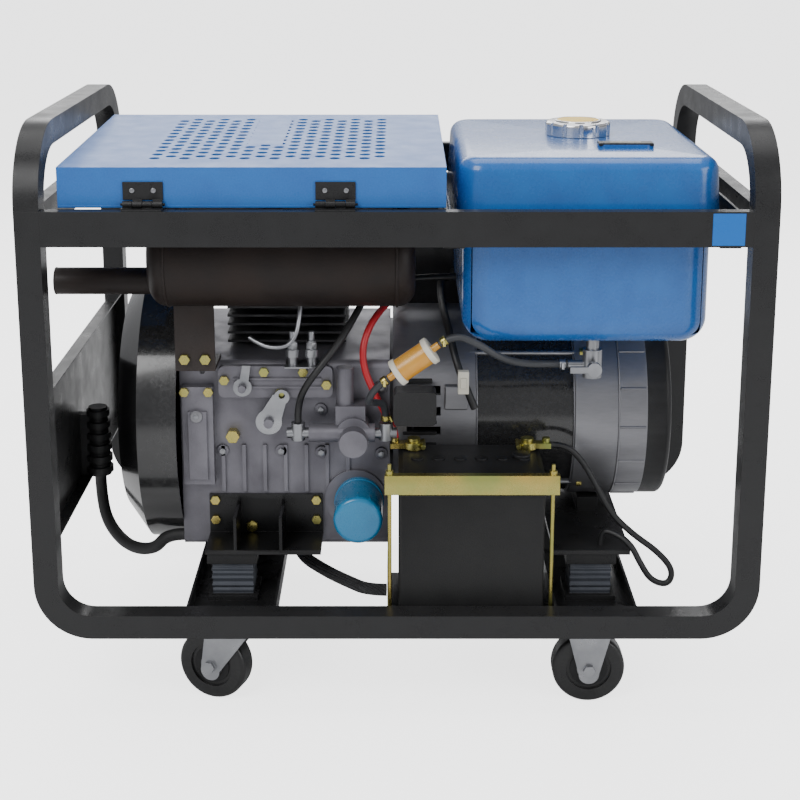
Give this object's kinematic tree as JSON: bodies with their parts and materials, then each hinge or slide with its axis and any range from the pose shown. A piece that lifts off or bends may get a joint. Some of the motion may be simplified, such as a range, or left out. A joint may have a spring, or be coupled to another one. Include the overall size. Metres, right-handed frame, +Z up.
{
  "type": "engine driven welder",
  "caption": "Open tube frame on castors that carries a diesel engine, a welding alternator, a fuel tank, a battery and a control box.",
  "frame": {"origin": "on the ground under the middle of the tube frame", "axes": "+X along the frame towards the alternator, +Y from the service side to the control side, +Z up"},
  "size_m": [0.89, 0.56, 0.74],
  "materials": {
    "frame_black": "satin",
    "cover_blue": "gloss",
    "hinge_black": "satin",
    "cap_chrome": "polished",
    "engine_alloy": "cast",
    "zinc_gold": "plated",
    "zinc": "plated",
    "muffler_brown": "matt",
    "shroud_black": "gloss",
    "steel": "machined",
    "iron": "machined",
    "mount_rubber": "matt",
    "wheel_black": "satin",
    "filter_blue": "gloss",
    "filter_amber": "clear",
    "trim_black": "matt",
    "hose_black": "matt",
    "lead_red": "satin"
  },
  "bodies": {
    "frame": {"air_cleaner": "shroud_black", "battery": "trim_black", "battery_clamps": "zinc_gold", "battery_hold_down": "zinc_gold", "bell_housing": "engine_alloy", "braided_hose": "hose_black", "cable_boot": "mount_rubber", "control_box": "frame_black", "crankcase": "engine_alloy", "crossmembers": "frame_black", "cylinder_barrel": "engine_alloy", "cylinder_head": "engine_alloy", "end_bell": "engine_alloy", "engine_bolts": "zinc_gold", "engine_conduit": "hose_black", "engine_covers": "engine_alloy", "engine_feet": "frame_black", "fan_housing": "shroud_black", "fixed_forks": "zinc", "front_frame": "frame_black", "fuel_filter": "filter_amber", "fuel_fittings": "zinc", "fuel_hose_pump": "hose_black", "fuel_hose_supply": "hose_black", "fuel_tank": "cover_blue", "harness": "hose_black", "hinge_bases": "hinge_black", "left_end_plate": "frame_black", "lift_pump": "engine_alloy", "muffler": "muffler_brown", "negative_lead": "hose_black", "oil_filter": "filter_blue", "panel_fittings": "trim_black", "positive_lead": "lead_red", "rear_frame": "frame_black", "relay_box": "trim_black", "return_hose": "hose_black", "rubber_mounts": "mount_rubber", "stator": "shroud_black", "top_bars": "frame_black", "upper_rails": "frame_black", "vent_cover": "trim_black"},
    "front_right_wheel": {"fixed_wheel_front": "wheel_black"},
    "rear_right_wheel": {"fixed_wheel_rear": "wheel_black"},
    "front_swivel": {"swivel_fork_front": "zinc"},
    "rear_swivel": {"swivel_fork_rear": "zinc"},
    "front_left_wheel": {"swivel_wheel_front": "wheel_black"},
    "rear_left_wheel": {"swivel_wheel_rear": "wheel_black"},
    "cover": {"top_cover": "cover_blue", "hinge_leaves": "hinge_black"},
    "shaft": {"crankshaft": "steel", "flywheel": "iron", "rotor": "iron"},
    "cap": {"fuel_cap": "cap_chrome"},
    "tap": {"tap_lever": "zinc"},
    "speed": {"speed_lever": "zinc"},
    "stop": {"stop_lever": "zinc"},
    "knob": {"current_knob": "trim_black"},
    "key": {"start_key": "trim_black"},
    "breaker": {"breaker_toggle": "trim_black"}
  },
  "joints": [
    {"name": "front_right_roll", "type": "hinge", "parent": "frame", "child": "front_right_wheel", "pos_m": [0.2435, -0.225, 0.046], "axis": [0, 1, 0], "continuous": true},
    {"name": "rear_right_roll", "type": "hinge", "parent": "frame", "child": "rear_right_wheel", "pos_m": [0.2435, 0.225, 0.046], "axis": [0, 1, 0], "continuous": true},
    {"name": "front_swivel_turn", "type": "hinge", "parent": "frame", "child": "front_swivel", "pos_m": [-0.207, -0.225, 0.1], "axis": [0, 0, 1], "continuous": true},
    {"name": "rear_swivel_turn", "type": "hinge", "parent": "frame", "child": "rear_swivel", "pos_m": [-0.207, 0.225, 0.1], "axis": [0, 0, 1], "continuous": true},
    {"name": "front_left_roll", "type": "hinge", "parent": "front_swivel", "child": "front_left_wheel", "pos_m": [-0.23143, -0.21611, 0.046], "axis": [0.342, 0.9397, 0], "continuous": true},
    {"name": "rear_left_roll", "type": "hinge", "parent": "rear_swivel", "child": "rear_left_wheel", "pos_m": [-0.23143, 0.23389, 0.046], "axis": [0.342, 0.9397, 0], "continuous": true},
    {"name": "cover_lift", "type": "hinge", "parent": "frame", "child": "cover", "pos_m": [-0.17, -0.265, 0.65], "axis": [1, 0, 0], "range_deg": [0, 95]},
    {"name": "shaft_spin", "type": "hinge", "parent": "frame", "child": "shaft", "pos_m": [-0.15, 0.01, 0.327], "axis": [1, 0, 0], "continuous": true},
    {"name": "cap_turn", "type": "hinge", "parent": "frame", "child": "cap", "pos_m": [0.236, -0.03, 0.699], "axis": [0, 0, 1], "range_deg": [0, 90]},
    {"name": "tap_turn", "type": "hinge", "parent": "frame", "child": "tap", "pos_m": [0.243, -0.214, 0.434], "axis": [0, 1, 0], "range_deg": [-90, 0]},
    {"name": "speed_turn", "type": "hinge", "parent": "frame", "child": "speed", "pos_m": [-0.164, -0.15, 0.345], "axis": [0, 1, 0], "range_deg": [-15, 30]},
    {"name": "stop_turn", "type": "hinge", "parent": "frame", "child": "stop", "pos_m": [-0.197, -0.15, 0.391], "axis": [0, 1, 0], "range_deg": [-20, 20]},
    {"name": "current_turn", "type": "hinge", "parent": "frame", "child": "knob", "pos_m": [0.06, 0.267, 0.47], "axis": [0, 1, 0], "range_deg": [-135, 135]},
    {"name": "key_turn", "type": "hinge", "parent": "frame", "child": "key", "pos_m": [0.02, 0.267, 0.54], "axis": [0, 1, 0], "range_deg": [0, 90]},
    {"name": "breaker_flip", "type": "hinge", "parent": "frame", "child": "breaker", "pos_m": [0.27, 0.257, 0.54], "axis": [1, 0, 0], "range_deg": [-20, 20]}
  ]
}
